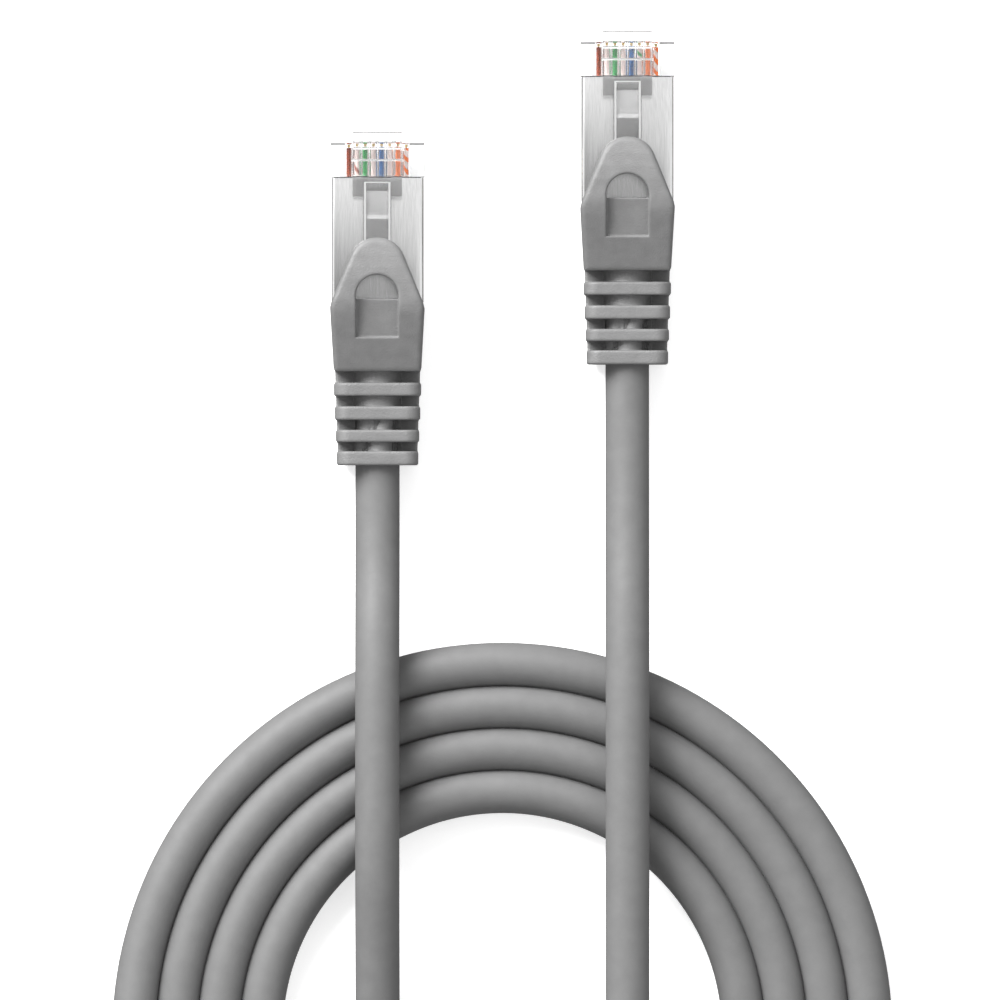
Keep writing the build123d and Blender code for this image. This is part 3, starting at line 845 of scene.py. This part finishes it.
def make_latch(end, looks):
    """The nose, the wide root with its two shoulders, and the narrow tab that runs under the tongue."""
    wide_side = [
        (39.45, 7.74), (40.14, 7.72), (40.14, 6.3), (41.3, 6.3), (41.4, 6.4), (41.4, 8.66), (41.28, 8.8),
        (40.5, 8.86), lever(35.75, 0.50), lever(33.4, 0.50), lever(33.4, -0.45), lever(35.75, -0.45),
        lever(39.2, -0.30),
    ]
    tab_side = [
        lever(36.0, 0.52), lever(25.2, 0.42), lever(25.0, 0.2), lever(25.0, -0.4), lever(36.0, -0.4),
    ]
    latch = prism(wide_side, X, -WIDE_HALF, WIDE_HALF)
    tab = prism(tab_side, X, -TAB_HALF, TAB_HALF)
    carve(latch, [tab], "UNION")
    rail_side = [lever(35.2, 0.58), lever(25.6, 0.5), lever(25.6, 0.3), lever(35.2, 0.3)]
    lip_side = [lever(35.2, 0.62), lever(35.07, 0.62), lever(35.07, 0.3), lever(35.2, 0.3)]
    recess_side = [
        lever(35.2, 0.8), lever(26.0, 0.8), lever(26.0, 0.05), lever(30.6, 0.05), lever(30.6, 0.3),
        lever(31.1, 0.3), lever(31.1, 0.05), lever(34.1, -0.05), lever(35.2, 0.35),
    ]
    carve(latch, [prism(recess_side, X, -1.42, 1.42)], "DIFFERENCE")
    ridges = [
        prism(rail_side, X, -RAIL_OUTSIDE, -RAIL_INSIDE),
        prism(rail_side, X, RAIL_INSIDE, RAIL_OUTSIDE),
        prism(lip_side, X, -1.5, 1.5),
    ]
    carve(latch, ridges, "UNION")
    bevel(latch, 0.08, 30)
    place_piece(latch, f"clear_latch_{end}", end, looks["clear_latch"])
    # The latch's regions get lit and shaded copies of its clear plastic: painted shade on the root and the
    # tab, painted light on the middle and the ledge, painted highlight lines on the rails and the lip.
    tint_faces(latch, end, looks["latch_root"], (0, 33.3, 8.0), (3.1, 35.8, 11))
    tint_faces(latch, end, looks["latch_tab"], (0, 26.0, 8.0), (1.3, 30.7, 11))
    tint_faces(latch, end, looks["latch_middle"], (0, 31.0, 8.0), (1.3, 33.3, 11))
    tint_faces(latch, end, looks["latch_ledge"], (0, 30.7, 8.0), (1.3, 31.0, 11))
    rail_highlight_low, rail_highlight_high = (RAIL_INSIDE - 0.01, 25.0, 9.5), (RAIL_OUTSIDE + 0.01, 35.2, 11.5)
    tint_faces(latch, end, looks["latch_rail"], rail_highlight_low, rail_highlight_high)
    tint_faces(latch, end, looks["latch_rail"], (0, 34.95, 9.4), (1.5, 35.22, 11.5))
    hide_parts(f"latch_{end}")
    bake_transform(latch)


# ---- the whole part ----
make_camera()
make_floor()
make_key()
make_sky()
looks = {
    "jacket": jacket_look(),
    "boot": boot_look(),
    "shield_steel": steel_look(),
    "gold": gold_look(),
    "copper": copper_look(),
    "foil": foil_look(),
    "tinned_wire": tinned_look(),
    "inner_mould": mould_look(),
    "load_bar": load_bar_look(),
    "clear_housing": clear_look("clear_housing", (0.98, 0.985, 0.99)),
    "frosted_groove": clear_look("frosted_groove", grey(0.85), 0.4, 0.6, 0.4),
    # painted shade: dark cloudy plastic for the dark lines along the front block's edges
    "housing_edge": clear_look("housing_edge", grey(0.13), 0.3, 0.5, 0.3),
    # painted shadow: dark opaque plastic on the waist's top, seen through the gap behind the front block
    "housing_seam": clear_look("housing_seam", grey(0.12), 0.4, 0.6, 0.0),
    "clear_latch": clear_look("clear_latch", grey(1.0)),
    # painted highlight: cloudy grey on the latch's rails and lip, drawing the bright lines that their edges
    # catch
    "latch_rail": clear_look("latch_rail", grey(0.38), 0.3, 0.5, 0.3),
    # painted light: cloudy white copies of the latch's clear plastic that lighten its ledge and middle
    "latch_ledge": clear_look("latch_ledge", grey(1.0), 0.03, 0.09, 0.84),
    "latch_middle": clear_look("latch_middle", grey(1.0), 0.03, 0.09, 0.92),
    # painted shade: grey-tinted copies of the latch's clear plastic that darken its root and tab
    "latch_root": clear_look("latch_root", grey(0.62)),
    "latch_tab": clear_look("latch_tab", grey(0.66)),
}
for row in record["materials"]:
    if row["slot"].startswith("wire_"):
        looks[row["slot"]] = wire_look(row["slot"].removeprefix("wire_"))
make_cable(looks["jacket"])
for row in record["subparts"]:
    data = frame["nodes"][row["node"]].data
    data.materials.clear()
    data.materials.append(looks[row["material_slot"]])
for end in "ab":
    make_boot(end, looks["boot"])
    make_housing(end, looks)
    make_shield(end, looks["shield_steel"])
    make_latch(end, looks)

bpy.context.view_layer.update()
